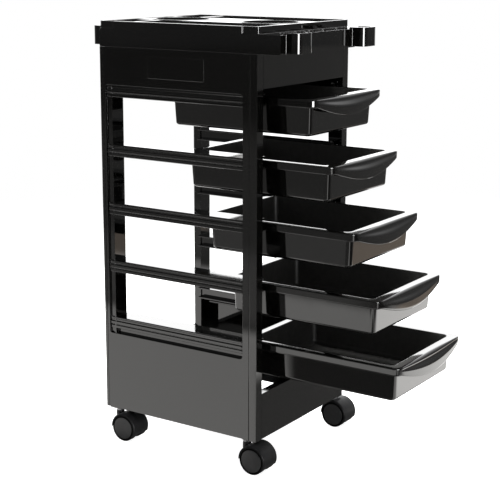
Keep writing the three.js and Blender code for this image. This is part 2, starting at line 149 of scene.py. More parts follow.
M_TRAY = gloss_black("gloss_black_tray", (1.3, 0.2, 4.1), rough=(0.02, 0.045), wave=0.00004)
M_SIDE = gloss_black("gloss_black_side", (5.7, 2.2, 0.4), rough=(0.03, 0.06), wave=0.00012)
M_CROSS = gloss_black("gloss_black_cross", (2.9, 7.2, 1.8))
M_DRAWER = [gloss_black("gloss_black_drawer_%d" % (k + 1), (k * 3.1, 9.4 - k, 2.2 * k), wave=0.00045) for k in range(5)]
# Inside of the tubs: a satin grained black, painted lighter than the plastic to stand in for the light that falls into
# the tubs.
M_INSIDE_PAINTED_FILL = satin_nylon("satin_black_inside_painted_fill", (4.3, 3.1, 0.9), (0.052, 0.0515, 0.0495), (0.074, 0.073, 0.0695), (0.38, 0.5), grain=1500, depth=0.00002, level=0.2)
# Bevel faces on the side ladders and tray: a lighter, rougher black than the faces beside them, a painted highlight
# that makes the edges read as thin light lines.
M_EDGE_HIGHLIGHT = gloss_black("black_edge_painted_highlight", (1.9, 0.4, 2.9), (0.004, 0.004, 0.0038), (0.009, 0.0088, 0.0083), rough=(0.11, 0.19), wave=0.00001)
M_NYLON = satin_nylon("charcoal_nylon", (0.3, 0.8, 0.1), (0.006, 0.006, 0.0065), (0.011, 0.011, 0.0115), level=0.14)
M_DISC = satin_nylon("charcoal_disc", (0.9, 1.8, 0.6), (0.008, 0.008, 0.0084), (0.014, 0.014, 0.0144), (0.30, 0.42), level=0.2)
# Groove between the wheel's disc and tread: near-black, matt and hardly reflective, painted shade standing in for the
# shadow in the groove.
M_GROOVE_SHADE = satin_nylon("painted_shade_groove", (1.1, 0.7, 1.6), (0.0006, 0.0006, 0.0006), (0.0012, 0.0012, 0.0012), (0.6, 0.8), level=0.03)
M_TYRE = satin_nylon("charcoal_wheel", (2.3, 1.8, 0.6), (0.003, 0.003, 0.0032), (0.006, 0.006, 0.0062), (0.38, 0.55), level=0.08)
M_STEEL = worn_metal("plated_steel", (0.1, 0.1, 0.1), (0.10, 0.10, 0.105), (0.22, 0.22, 0.225))
M_SCREW = worn_metal("blackened_steel", (3.1, 0.4, 0.7), (0.02, 0.02, 0.021), (0.05, 0.05, 0.05), (0.28, 0.45), (1, 1, 1))

# ------------------------------------------------------------------ mesh helpers


def link(o):
    SC.collection.objects.link(o)
    return o


def dress(o, material):
    o.data.materials.clear()
    o.data.materials.append(material)
    return o


def smooth(me):
    me.polygons.foreach_set("use_smooth", [True] * len(me.polygons))


def crisp(o, width, segments=2, angle=32, planar=True):
    """Rounds the hard edges of an imported or cut solid and gives its flats true normals."""
    if planar:
        d = o.modifiers.new("flats", "DECIMATE")
        d.decimate_type = "DISSOLVE"
        d.angle_limit = math.radians(0.6)
    b = o.modifiers.new("edges", "BEVEL")
    b.width = width * MM
    b.segments = segments
    b.limit_method = "ANGLE"
    b.angle_limit = math.radians(angle)
    b.use_clamp_overlap = False
    b.harden_normals = False
    w = o.modifiers.new("normals", "WEIGHTED_NORMAL")
    w.keep_sharp = True
    w.weight = 60
    return o


# ------------------------------------------------------------------ solid building, in millimetres


def obj_from(name, verts, faces):
    me = bpy.data.meshes.new(name)
    me.from_pydata([tuple(float(c) for c in v) for v in verts], [], faces)
    me.validate()
    o = link(bpy.data.objects.new(name, me))
    bm = bmesh.new()
    bm.from_mesh(me)
    bmesh.ops.recalc_face_normals(bm, faces=bm.faces)
    bm.to_mesh(me)
    bm.free()
    return o


def loft(name, rings, close=True):
    """Quads between successive rings of equal length, with the first and last ring capped."""
    n = len(rings[0])
    verts = [p for ring in rings for p in ring]
    faces = []
    for k in range(len(rings) - 1):
        for i in range(n):
            j = (i + 1) % n
            faces.append((k * n + i, k * n + j, (k + 1) * n + j, (k + 1) * n + i))
    if close:
        faces.append(tuple(range(n - 1, -1, -1)))
        faces.append(tuple(range((len(rings) - 1) * n, len(rings) * n)))
    return obj_from(name, verts, faces)


def rounded(x0, x1, y0, y1, r, seg=6, edge=(1, 1, 1, 1)):
    """Points of a rounded rectangle; r and edge go front (y0), right (x1), back (y1), left (x0) by corner x0y0, x1y0, x1y1, x0y1."""
    rr = list(r) if isinstance(r, (list, tuple)) else [r] * 4
    c = [(x0, y0, 1, 1, math.pi), (x1, y0, -1, 1, 1.5 * math.pi), (x1, y1, -1, -1, 0.0), (x0, y1, 1, -1, 0.5 * math.pi)]
    arcs = []
    for (x, y, sx, sy, a0), q in zip(c, rr):
        q = max(q, 0.02)
        arcs.append([(x + sx * q + q * math.cos(a0 + k / seg * math.pi / 2), y + sy * q + q * math.sin(a0 + k / seg * math.pi / 2)) for k in range(seg + 1)])
    pts = []
    for i in range(4):
        pts += arcs[i]
        a, b = arcs[i][-1], arcs[(i + 1) % 4][0]
        for k in range(1, edge[i]):
            t = k / edge[i]
            pts.append((a[0] + (b[0] - a[0]) * t, a[1] + (b[1] - a[1]) * t))
    return pts


def slab(x0, x1, y0, y1, z0, z1, r=0.0, seg=6):
    """A box with rounded vertical corners."""
    if not r:
        v = [(x, y, z) for z in (z0, z1) for x, y in ((x0, y0), (x1, y0), (x1, y1), (x0, y1))]
        return obj_from("t", v, [(3, 2, 1, 0), (4, 5, 6, 7), (0, 1, 5, 4), (1, 2, 6, 5), (2, 3, 7, 6), (3, 0, 4, 7)])
    p = rounded(x0, x1, y0, y1, r, seg)
    return loft("t", [[(x, y, z0) for x, y in p], [(x, y, z1) for x, y in p]])


def pocket(x0, x1, y0, y1, z0, z1, r, inset, fillet, seg=6):
    """A tapered rounded box whose bottom edge is filleted: the shape of a moulded recess."""
    rings = []
    n = 5
    for k in range(n + 1):
        a = math.pi / 2 * (1 - k / n)
        d = inset + fillet * (1 - math.cos(a))
        z = z0 + fillet * (1 - math.sin(a))
        rings.append([(x, y, z) for x, y in rounded(x0 + d, x1 - d, y0 + d, y1 - d, max(r - (d - inset) * 0.6, 1.5), seg)])
    rings = rings[::-1] if rings[0][0][2] > rings[-1][0][2] else rings
    rings.append([(x, y, z1) for x, y in rounded(x0, x1, y0, y1, r, seg)])
    return loft("t", rings)


def lathe(profile, axis, at, seg=64):
    """Turns (radius, height) pairs about an axis through `at`; the ends are capped."""
    rings = []
    for rad, h in profile:
        ring = []
        for i in range(seg):
            a = 2 * math.pi * i / seg
            c, s_ = rad * math.cos(a), rad * math.sin(a)
            ring.append({"z": (at[0] + c, at[1] + s_, at[2] + h), "x": (at[0] + h, at[1] + c, at[2] + s_), "y": (at[0] + s_, at[1] + h, at[2] + c)}[axis])
        rings.append(ring)
    return loft("t", rings)


def extrude(points, axis, a0, a1):
    """Extrudes a polygon: points are (y, z) for axis x, (x, z) for axis y, (x, y) for axis z."""
    put = {"x": lambda p, a: (a, p[0], p[1]), "y": lambda p, a: (p[0], a, p[1]), "z": lambda p, a: (p[0], p[1], a)}[axis]
    return loft("t", [[put(p, a0) for p in points], [put(p, a1) for p in points]])


def drop(o):
    me = o.data
    bpy.data.objects.remove(o)
    if me and me.users == 0:
        bpy.data.meshes.remove(me)


def solve(o, others, operation):
    """Joins `others` to o, or cuts them from it, and bakes the result."""
    if not others:
        return o
    col = bpy.data.collections.new("operands")
    for t in others:
        for c in list(t.users_collection):
            c.objects.unlink(t)
        col.objects.link(t)
    SC.collection.children.link(col)
    m = o.modifiers.new("b", "BOOLEAN")
    m.operation = operation
    m.solver = "EXACT"
    m.operand_type = "COLLECTION"
    m.collection = col
    dg = bpy.context.evaluated_depsgraph_get()
    me = bpy.data.meshes.new_from_object(o.evaluated_get(dg))
    o.modifiers.clear()
    old = o.data
    o.data = me
    bpy.data.meshes.remove(old)
    for t in others:
        drop(t)
    bpy.data.collections.remove(col)
    return o


def tidy(o, angle=0.8):
    bm = bmesh.new()
    bm.from_mesh(o.data)
    bmesh.ops.remove_doubles(bm, verts=bm.verts, dist=0.01)
    bmesh.ops.dissolve_limit(bm, angle_limit=math.radians(angle), verts=bm.verts, edges=bm.edges)
    bmesh.ops.triangulate(bm, faces=[f for f in bm.faces if len(f.verts) > 4])
    bmesh.ops.recalc_face_normals(bm, faces=bm.faces)
    bm.to_mesh(o.data)
    bm.free()
    return o


def level_faces(me, least=25.0):
    """Shades the large level and upright faces flat, so that a mirror finish stays true on them."""
    for f in me.polygons:
        if f.area > least and max(abs(c) for c in f.normal) > 0.99999:
            f.use_smooth = False


def finish_piece(o, name, body, node, material, width=None, segments=2, angle=32, at=(0, 0, 0), mirror=False, edge=None, flats=False):
    """Scales from millimetres, places, rounds, dresses and hangs a piece on its body in place of its CAD node."""
    me = o.data
    o.name = name
    me.name = name
    smooth(me)
    if flats:
        level_faces(me)
    m = Matrix.Translation(Vector(at)) @ Matrix.Diagonal((-MM if mirror else MM, MM, MM, 1))
    me.transform(m)
    if mirror:
        me.flip_normals()
    if width:
        crisp(o, width, segments, angle, planar=False)
    else:
        w_ = o.modifiers.new("normals", "WEIGHTED_NORMAL")
        w_.keep_sharp = True
        w_.weight = 60
    dress(o, material)
    # The bevel faces take the edge material, a painted highlight.
    if edge:
        me.materials.append(edge)
        for m_ in o.modifiers:
            if m_.type == "BEVEL":
                m_.material = 1
    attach(o, body)
    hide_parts(*([node] if isinstance(node, str) else node))
    replaced.update([node] if isinstance(node, str) else node)
    return o


def carry(name, material, width):
    o = N[name]
    smooth(o.data)
    dress(o, material)
    crisp(o, width)


replaced = set()
TAGS = ("fl", "fr", "rl", "rr")

# ------------------------------------------------------------------ drawers
# Moulded tubs: a flat rim with a hanging skirt, and a front lip that drops in a smile and flares forwards.
HX, TUB_L, OUT, BACK = 135.0, 322.0, 16.0, 14.0


def lip_share(x):
    return max(0.0, math.cos(math.pi * x / 244.0)) if abs(x) < 122 else 0.0


def drawer_mesh():
    def ring(hx, y0, y1, rf, rb, z, seg=7):
        return [(x, y, z) for x, y in rounded(-hx, hx, y0, y1, (rf, rf, rb, rb), seg, (60, 6, 6, 6))]

    rings = []
    # inner floor and its fillet
    rings.append(ring(104, 20.0, TUB_L - 18, 6, 6, -68.4))
    for k in range(6):
        a = math.pi / 2 * k / 5
        d = 9 * (1 - math.sin(a))
        rings.append(ring(115.4 - d, 8.6 + d, TUB_L - 5.6 - d, max(9 - d * 0.5, 4), max(9 - d * 0.5, 4), -68.4 + 9 * (1 - math.cos(a))))
    rings.append(ring(118.1, 5.9, TUB_L - 2.9, 10, 10, -4.0))
    for k in range(5):
        a = math.pi / 2 * k / 4
        d = 1.9 * (1 - math.cos(a))
        rings.append(ring(118.4 + d, 5.6 - d, TUB_L - 2.6 + d, 10 + d, 10 + d, -1.9 * (1 - math.sin(a))))
    # rim top, very slightly crowned
    rings.append(ring(124.5, -2.0, TUB_L + 4.5, 12, 11, 0.12))
    rings.append(ring(129.0, -8.6, TUB_L + 9.0, 13.8, 11.2, 0.1))
    r0 = 2.0

    def over(x, y):
        return r0 + (4.4 * lip_share(x) if y < 1.0 and abs(x) < 122 else 0.0)

    for k in range(8):
        a = math.pi / 2 * k / 7
        d = r0 * (1 - math.sin(a))
        out = []
        for x, y, z in ring(HX - d, -OUT + d, TUB_L + BACK - d, 16 - d, 12 - d, 0):
            q = over(x, y)
            out.append((x, y + (q - r0) * (1 - math.sin(a)), -q * (1 - math.cos(a))))
        rings.append(out)
    # outer face of the skirt and lip
    def lip(ring_pts, s_, inner=0.0, extra=0.0):
        out = []
        for x, y, z in ring_pts:
            front = y < 1.0 and abs(x) < 122
            c = lip_share(x) if front else 0.0
            depth = 14.9 + 23.1 * c
            q = over(x, y)
            zz = -q - s_ * (depth - q - 1.3)
            t = (s_ - 0.04) / 0.44
            t = min(max(t, 0.0), 1.0)
            f = 6.2 * (c ** 0.7) * (0.86 * t * t * (3 - 2 * t) + 0.14 * s_) if c > 0 else 0.0
            out.append((x, y - f, zz + extra))
        return out

    base = ring(HX, -OUT, TUB_L + BACK, 16, 12, 0)
    steps = (0.06, 0.12, 0.18, 0.25, 0.32, 0.39, 0.46, 0.53, 0.62, 0.74, 0.87, 1.0)
    for s_ in steps:
        rings.append(lip(base, s_))
    for k in range(1, 5):
        a = math.pi * k / 4
        b = ring(HX - 1.3 * (1 - math.cos(a)), -OUT + 1.3 * (1 - math.cos(a)), TUB_L + BACK - 1.3 * (1 - math.cos(a)), 16 - 1.3 * (1 - math.cos(a)), 12 - 1.3 * (1 - math.cos(a)), 0)
        rings.append(lip(b, 1.0, extra=-1.3 * math.sin(a)))
    b = ring(HX - 2.6, -OUT + 2.6, TUB_L + BACK - 2.6, 13.4, 9.4, 0)
    for s_ in (0.8, 0.6, 0.45, 0.32, 0.2, 0.1, 0.06):
        rings.append(lip(b, s_))
    # under the flange, then down the outside of the tub
    rings.append(ring(HX - 3.4, -OUT + 3.4, TUB_L + BACK - 3.4, 12.6, 8.6, -2.75))
    rings.append(ring(122.6, -1.6, TUB_L + 1.6, 11.4, 11.4, -2.75))
    rings.append(ring(121.2, -0.2, TUB_L + 0.2, 10.2, 10.2, -4.2))
    rings.append(ring(121.0, 0.0, TUB_L, 10, 10, -6.0))
    rr = 6.0
    t_ = 3.0 * (71 - rr) / 71
    for k in range(6):
        a = math.pi / 2 * k / 5
        d = rr * (1 - math.cos(a))
        q = max(10 - d * 0.7, 4)
        rings.append(ring(121 - t_ - d, t_ + d, TUB_L - t_ - d, q, q, -71 + rr * (1 - math.sin(a))))
    rings.append(ring(104, 17, TUB_L - 17, 5, 5, -71))
    rings.append(ring(103, 18, TUB_L - 18, 5, 5, -70.2))
    return loft("t", rings)


def inward(f):
    """True for a face that looks up or towards the middle of the tub."""
    c, n_ = f.center, f.normal
    return n_.z > 0.5 or n_.x * c.x < -0.3 * abs(c.x) or n_.y * (c.y - TUB_L / 2) < -0.3 * abs(c.y - TUB_L / 2)


for k in range(5):
    node = "drawer_%d" % (k + 1)
    lo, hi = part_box(node)
    o = drawer_mesh()
    inner = [i for i, f in enumerate(o.data.polygons) if f.center.z < -1.2 and abs(f.center.x) < 118.6 and 5.0 < f.center.y < TUB_L - 2.4 and f.center.z > -68.6 and inward(f)]
    finish_piece(o, "tub_%d" % (k + 1), node, node, M_DRAWER[k], at=(0, lo.y + 22.0 * MM, hi.z))
    # the inward faces get the inside material with its painted fill light
    o.data.materials.append(M_INSIDE_PAINTED_FILL)
    for i in inner:
        o.data.polygons[i].material_index = 1

# ------------------------------------------------------------------ casters


def wheel_mesh(sign):
    """Twin-caster wheel: rounded tread, plain domed outer face, hollow inner side with a hub."""
    w_, R = 7.5, 28.5
    prof = [(3.5, w_ - 1.6), (3.5, -w_ + 0.4), (6.2, -w_ + 0.4), (6.6, -w_ + 0.9), (7.0, -w_ + 5.5), (22.4, -w_ + 5.5), (23.0, -w_ + 1.0), (23.4, -w_ + 0.3), (26.2, -w_ + 0.1)]
    for k in range(5):
        a = math.pi / 2 * k / 4
        prof.append((R - 1.8 * (1 - math.sin(a)), -w_ + 0.1 + 1.8 * (1 - math.cos(a))))
    prof += [(R + 0.0, 0.0)]
    for k in range(6):
        a = math.pi / 2 * k / 5
        prof.append((R - 2.0 * (1 - math.cos(a)), w_ - 2.0 * (1 - math.sin(a))))
    prof += [(26.4, w_ + 0.0), (26.2, w_ - 2.0), (23.4, w_ - 2.0), (23.1, w_ + 0.0), (22.6, w_ + 0.4)]
    for k in range(1, 9):
        t = k / 8
        prof.append((22.6 * (1 - t) + 0.6 * t, w_ + 0.4 + 0.6 * math.sin(math.pi / 2 * t)))
    o = lathe([(a, b * sign) for a, b in prof], "x", (0, 0, 0), 72)
    return o


def hood_mesh():
    """Arched hood with rounded shoulders over both wheels, a centre web, the hub and the swivel boss."""
    RI, RO, W = 29.2, 31.2, 24.0
    rings = []
    n = 40
    a0, a1 = -22, 182
    sh, sv = 3.6, 1.7
    for i in range(n + 1):
        a = math.radians(a0 + (a1 - a0) * i / n)
        sec = []
        # left shoulder rises from the side face to the crown, right shoulder mirrors it
        left = [(-W, RI + 0.0), (-W, RO - sv)] + [(-W + sh * (1 - math.cos(b)), RO - sv + sv * math.sin(b)) for b in [math.pi / 2 * k / 6 for k in range(1, 7)]]
        crown = [(-W + sh + (2 * (W - sh)) * t, RO + 0.25 * math.sin(math.pi * t)) for t in (0.2, 0.4, 0.6, 0.8)]
        right = [(-x_, r_) for x_, r_ in left[::-1]]
        inner = [(W - 2.2, RI), (0.0, RI), (-W + 2.2, RI)]
        for x_, r_ in left + crown + right + inner:
            sec.append((x_, -r_ * math.cos(a), r_ * math.sin(a)))
        rings.append(sec)
    shell = loft("t", rings)
    pts = [(-3.0 * math.cos(math.radians(t)), 3.0 * math.sin(math.radians(t))) for t in (a1 - 1.5, 80, a0 + 1.5)]
    arc = [(-(RI + 1) * math.cos(math.radians(t)), (RI + 1) * math.sin(math.radians(t))) for t in np.linspace(a0 + 1.5, a1 - 1.5, 33)]
    web = extrude(arc + pts, "x", -8, 8)
    hub = lathe([(9.5, -8), (9.5, 8)], "x", (0, 0, 0), 40)
    boss = lathe([(8.6, 6), (8.6, 26), (8.0, 30.2)], "z", (0, 25, 0), 40)
    solve(shell, [web, hub, boss], "UNION")
    bore = lathe([(3.3, -9), (3.3, 9)], "x", (0, 0, 0), 24)
    well = lathe([(5.3, 9), (5.3, 40)], "z", (0, 25, 0), 32)
    solve(shell, [bore, well], "DIFFERENCE")
    return tidy(shell, 0.3)


hood_data = None
for tag in TAGS:
    for side, sign in (("left", -1), ("right", 1)):
        node = "caster_wheel_%s_%s" % (side, tag)
        lo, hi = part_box(node)
        c = (lo + hi) / 2
        o = wheel_mesh(sign)
        cap = [i for i, f in enumerate(o.data.polygons) if f.center.x * sign > 6.2 and math.hypot(f.center.y, f.center.z) < 23.3]
        # faces of that groove, which get the painted shade
        groove_shade_faces = [i for i, f in enumerate(o.data.polygons) if 5.0 < f.center.x * sign < 7.4 and 23.2 < math.hypot(f.center.y, f.center.z) < 26.35]
        finish_piece(o, "wheel_%s_%s" % (side, tag), "wheel_%s_%s" % (side, tag), node, M_TYRE, at=c)
        o.data.materials.append(M_DISC)
        o.data.materials.append(M_GROOVE_SHADE)
        for i in cap:
            o.data.polygons[i].material_index = 1
        for i in groove_shade_faces:
            o.data.polygons[i].material_index = 2
    node = "caster_hood_" + tag
    lo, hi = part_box("caster_axle_" + tag)
    c = (lo + hi) / 2
    if hood_data is None:
        o = hood_mesh()
        hood_data = o.data.copy()
    else:
        o = link(bpy.data.objects.new("t", hood_data.copy()))
    finish_piece(o, "hood_" + tag, "caster_" + tag, node, M_NYLON, width=0.12, at=c)

# ------------------------------------------------------------------ side panels
# Outer face with a recessed ladder, profiled runners with rounded ends standing over the rear post, grooved posts.
XO = -171.0
RAIL_Z = [724.3 - 121 * k for k in range(5)]
WIN_Y0, WIN_Y1 = -157.5, 162.0
RAIL_FACE = ((8.5, 0), (3.0, 0), (2.0, 0.9), (2.0, 5.9), (3.5, 6.9), (3.5, 8.3), (1.1, 9.6), (1.1, 14.6), (3.1, 15.9), (3.1, 19.4), (1.9, 20.5), (1.9, 23.5), (3.0, 24.5), (8.5, 24.5))


def rounded_yz(y0, y1, z0, z1, r, x0, x1, seg=5):
    return extrude(rounded(y0, y1, z0, z1, r, seg), "x", x0, x1)


def rail_bar(z):
    """Profiled outer bar of a runner; both ends curve inwards."""
    rings = []
    y0, y1, r = WIN_Y0 - 0.6, 177.0, 3.6
    stops = [(y0 + r * (1 - math.cos(math.pi / 2 * k / 5)), 1 - math.sin(math.pi / 2 * k / 5)) for k in range(6)]
    stops += [(y1 - r * (1 - math.cos(math.pi / 2 * (5 - k) / 5)), 1 - math.sin(math.pi / 2 * (5 - k) / 5)) for k in range(6)]
    for y, share in stops:
        rings.append([(XO + (px if px > 8 else px + 3.8 * share), y, z + pz) for px, pz in RAIL_FACE])
    return loft("t", rings)


def side_mesh():
    x = XO
    plate = slab(x, x + 3.2, -190, 190, 65, 825)
    zone = rounded_yz(WIN_Y0, 178, 229.5, 748.8, (7, 7, 7, 7), x - 1, x + 4)
    solve(plate, [zone], "DIFFERENCE")
    add = [
        slab(x, x + 21, -190, -186.8, 65, 825),
        slab(x, x + 21, WIN_Y0 - 3.2, WIN_Y0, 65, 825),
        slab(x + 17.8, x + 21, -190, WIN_Y0, 65, 825),
        slab(x + 2, x + 37.6, WIN_Y1, WIN_Y1 + 3.2, 65, 825),
        slab(x, x + 37.6, 176.8, 180, 65, 825),
        slab(x + 34.4, x + 37.6, WIN_Y1, 180, 65, 825),
        slab(x + 4.4, x + 7.4, WIN_Y1, 179, 228, 750),
        slab(x, x + 11, 186.8, 190, 65, 825),
        slab(x, x + 21, -190, WIN_Y0, 63.5, 108),
        slab(x, x + 21, 154, 180, 63.5, 108),
        # upper and lower panels turn in at their window edges
        slab(x, x + 21, WIN_Y0 - 1, WIN_Y1 + 1, 821.8, 825),
        slab(x, x + 9, WIN_Y0 - 1, WIN_Y1 + 1, 748.8, 751.4),
        slab(x, x + 21, WIN_Y0 - 1, WIN_Y1 + 1, 226.3, 229.5),
        slab(x, x + 21, WIN_Y0 - 1, WIN_Y1 + 1, 65, 68.2),
        slab(x + 9.5, x + 12, WIN_Y0 - 1, WIN_Y1 + 1, 228.5, 241.5),
        rounded_yz(-68, 68, 766.8, 810, (2.0, 2.0, 2.0, 2.0), x - 1.2, x + 1.0, 3),
    ]
    for k, z in enumerate(RAIL_Z):
        add.append(rail_bar(z))
        add.append(slab(x + 5, x + 48, -178, WIN_Y1 + 1, z, z + 3))
        add.append(slab(x + 5, x + 48, -178, WIN_Y1 + 1, z + 21.5, z + 24.5))
        add.append(slab(x + 32.4, x + 34.8, -178, WIN_Y1 + 1, z, z + 24.5))
    solve(plate, add, "UNION")
    cut = [
        slab(x - 1, x + 1.1, -174, -172.2, 61, 826),
        slab(x - 1, x + 1.1, 181.5, 183.3, 61, 826),
        lathe([(7.5, 61), (7.5, 101)], "z", (-160, -162, 0), 32),
        lathe([(7.5, 61), (7.5, 101)], "z", (-160, 162, 0), 32),
    ]
    for z in (95, 135, 772, 812):
        cut.append(lathe([(2.4, x + 11), (2.4, x + 22)], "x", (0, -176, z), 20))
        cut.append(lathe([(2.4, 176), (2.4, 181)], "y", (-144, 0, z), 20))
    for y in (-140, 140):
        cut.append(lathe([(2.4, 820), (2.4, 826)], "z", (x + 12.5, y, 0), 20))
    solve(plate, cut, "DIFFERENCE")
    return tidy(plate, 0.3)


side_data = side_mesh()
for node, mirrored in (("left_side_panel", False), ("right_side_panel", True)):
    lo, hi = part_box(node)
    o = side_data if not mirrored else link(bpy.data.objects.new("t", side_copy))
    if not mirrored:
        side_copy = o.data.copy()
    finish_piece(o, node.replace("_panel", "_ladder"), "root", node, M_SIDE, width=0.5, segments=2, angle=30, edge=M_EDGE_HIGHLIGHT, flats=True, at=(0, (lo.y + hi.y) / 2, 0), mirror=mirrored)

# ------------------------------------------------------------------ top tray


def tray_mesh():
    z0, f, w = 825.3, -240.2, 3.0
    body = slab(-171, 171, f, 190, z0, 862)
    add = [
        # raised rim, a little narrower past the corner notches
        slab(-171, 171, -155, 155, 861, 876, 1.2, 3),
        slab(-167.5, 167.5, -190, 190, 861, 876, [2.5, 2.5, 2.5, 2.5], 4),
    ]
    solve(body, add, "UNION")
    hollow = [
        slab(-168, 168, f + w, 187, z0 - 1, 859),
        slab(-165, 165, -187, 187, 858, 872.4),
        slab(-164.5, 164.5, -185, 185, 875.2, 877, [3.5, 3.5, 3.5, 3.5], 4),
    ]
    solve(body, hollow, "DIFFERENCE")
    add, inner = [], []
    for s_ in (-1, 1):
        a, b = (-163, -66) if s_ < 0 else (66, 163)
        for c, d_ in ((118, 181), (-181, 109)):
            add.append(pocket(a - 2.3, b + 2.3, c - 2.3, d_ + 2.3, 835.5, 874.6, 10.3, 3, 6, 5))
            inner.append(pocket(a, b, c, d_, 838, 876.4, 8, 3, 5, 5))
        add.append(lathe([(50, 835.5), (53.0, 835.9), (55.0, 838), (61.0, 872.5), (63.4, 874.0), (63.4, 875.3), (62.8, 875.75), (61.9, 875.8)], "z", (0, s_ * 109, 0), 72))
        inner.append(lathe([(44, 838), (48.5, 838.5), (51.4, 841.5), (52.6, 844.5), (58.2, 871.4), (58.7, 873.9), (59.5, 875.1), (60.6, 875.7), (61.2, 877)], "z", (0, s_ * 109, 0), 72))
        for y in (-140, 140):
            add.append(lathe([(5, z0), (5, 838)], "z", (s_ * 158.5, y, 0), 24))
        lx0, lx1 = (-151, -97) if s_ < 0 else (97, 151)
        cx = (lx0 + lx1) / 2
        add.append(slab(lx0, lx1, f - 27.8, f + 8, 827, 865, [12.5, 12.5, 2, 2], 8))
        add.append(slab(lx0, lx1, 186, 226, 827, 865, [2, 2, 12, 12], 8))
        inner.append(lathe([(17.5, 820), (17.5, 862.6), (19.0, 866)], "z", (cx, f - 27.8 + 3.5 + 17.5, 0), 56))
        inner.append(lathe([(16, 820), (16, 862.6), (17.4, 866)], "z", (cx, 226 - 2.8 - 16, 0), 56))
        for y in (-140, 140):
            inner.append(lathe([(2.3, z0 - 1), (2.3, 835)], "z", (s_ * 158.5, y, 0), 16))
    for hx in (-104, -52, 0, 52, 104):
        inner.append(lathe([(14.0, 850), (14.5, 860.6), (15.6, 863)], "z", (hx, -214, 0), 40))
    solve(body, add, "UNION")
    solve(body, inner, "DIFFERENCE")
    return tidy(body, 0.3)


lo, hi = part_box("top_tray")
o = tray_mesh()
finish_piece(o, "tray_top", "root", "top_tray", M_TRAY, width=0.55, segments=3, angle=38, edge=M_EDGE_HIGHLIGHT, flats=True, at=(0, lo.y + 268.0 * MM, 0))

# ------------------------------------------------------------------ screws


def screw_mesh(length):
    """Pan-head screw with a cross recess and a coarse thread on its shank; the head's underside is at height 0."""
    prof = [(0.5, -length), (1.5, -length + 1.4)]
    z = -length + 1.6
    while z < -1.6:
        prof += [(1.55, z), (2.0, z + 0.45), (1.55, z + 0.9)]
        z += 1.25
    prof += [(1.7, -0.2), (1.7, 0.0), (4.05, 0.0), (4.2, 0.3), (4.2, 0.9)]
    for k in range(1, 7):
        a = math.pi / 2 * k / 6
        prof.append((0.4 + 3.8 * math.cos(a), 0.9 + 1.7 * math.sin(a)))
    o = lathe(prof, "z", (0, 0, 0), 28)
    a = slab(-2.3, 2.3, -0.42, 0.42, 1.1, 3.2)
    b = slab(-0.42, 0.42, -2.3, 2.3, 1.1, 3.2)
    return tidy(solve(o, [a, b], "DIFFERENCE"), 0.2)


screw_stock = {}
for n in sorted(N):
    if "_screw_" not in n:
        continue
    lo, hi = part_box(n)
    c = (lo + hi) / 2
    if n.startswith("front"):
        head = Vector((1, 0, 0)) if c.x < 0 else Vector((-1, 0, 0))
    elif n.startswith("back"):
        head = Vector((0, 1, 0))
    else:
        head = Vector((0, 0, -1))
    span = abs((hi - lo).dot(head))
    L = round(span / MM - 2.6, 2)
    if L not in screw_stock:
        t = screw_mesh(L)
        screw_stock[L] = t.data.copy()
        drop(t)
    o = link(bpy.data.objects.new("t", screw_stock[L].copy()))
    turn = head.to_track_quat("Z", "Y").to_matrix().to_4x4()
    o.data.transform(turn @ Matrix.Rotation(0.37 * len(replaced), 4, "Z"))
    base = c + head * (span / 2 - 2.6 * MM)
    finish_piece(o, "pan_" + n, "root", n, M_SCREW, at=base)

# ------------------------------------------------------------------ everything still shown from the CAD
for n in N:
    if n in replaced:
        continue
    if n.startswith("drawer"):
        carry(n, M_DRAWER[int(n[-1]) - 1], 0.9)
    elif "side_panel" in n:
        carry(n, M_SIDE, 0.8)
    elif n == "top_tray":
        carry(n, M_TRAY, 0.7)
    elif "screw" in n:
        carry(n, M_SCREW, 0.3)
    elif "hood" in n or "socket" in n:
        carry(n, M_NYLON, 0.5)
    elif "wheel" in n:
        carry(n, M_TYRE, 0.6)
    elif "stem" in n or "axle" in n:
        carry(n, M_STEEL, 0.3)
    else:
        carry(n, M_CROSS, 0.8)

# ------------------------------------------------------------------ studio


def emissive(name, colour, strength):
    m = bpy.data.materials.new(name)
    m.use_nodes = True
    nt = m.node_tree
    nt.nodes.clear()
    out = nt.nodes.new("ShaderNodeOutputMaterial")
    e = nt.nodes.new("ShaderNodeEmission")
    e.inputs["Color"].default_value = (*colour, 1)
    e.inputs["Strength"].default_value = strength
    nt.links.new(e.outputs["Emission"], out.inputs["Surface"])
    return m


def math_node(nt, op, *vals):
    n = nt.nodes.new("ShaderNodeMath")
    n.operation = op
    for i, v in enumerate(vals):
        if isinstance(v, (int, float)):
            n.inputs[i].default_value = v
        else:
            nt.links.new(v, n.inputs[i])
    return n.outputs[0]


def step(nt, value, a, b):
    """Smooth step from 0 at a to 1 at b; a may be above b."""
    r = nt.nodes.new("ShaderNodeMapRange")
    r.interpolation_type = "SMOOTHSTEP"
    lo_, hi_ = min(a, b), max(a, b)
    r.inputs["From Min"].default_value = lo_
    r.inputs["From Max"].default_value = hi_
    r.inputs["To Min"].default_value = 0.0 if a < b else 1.0
    r.inputs["To Max"].default_value = 1.0 if a < b else 0.0
    nt.links.new(value, r.inputs["Value"])
    return r.outputs["Result"]


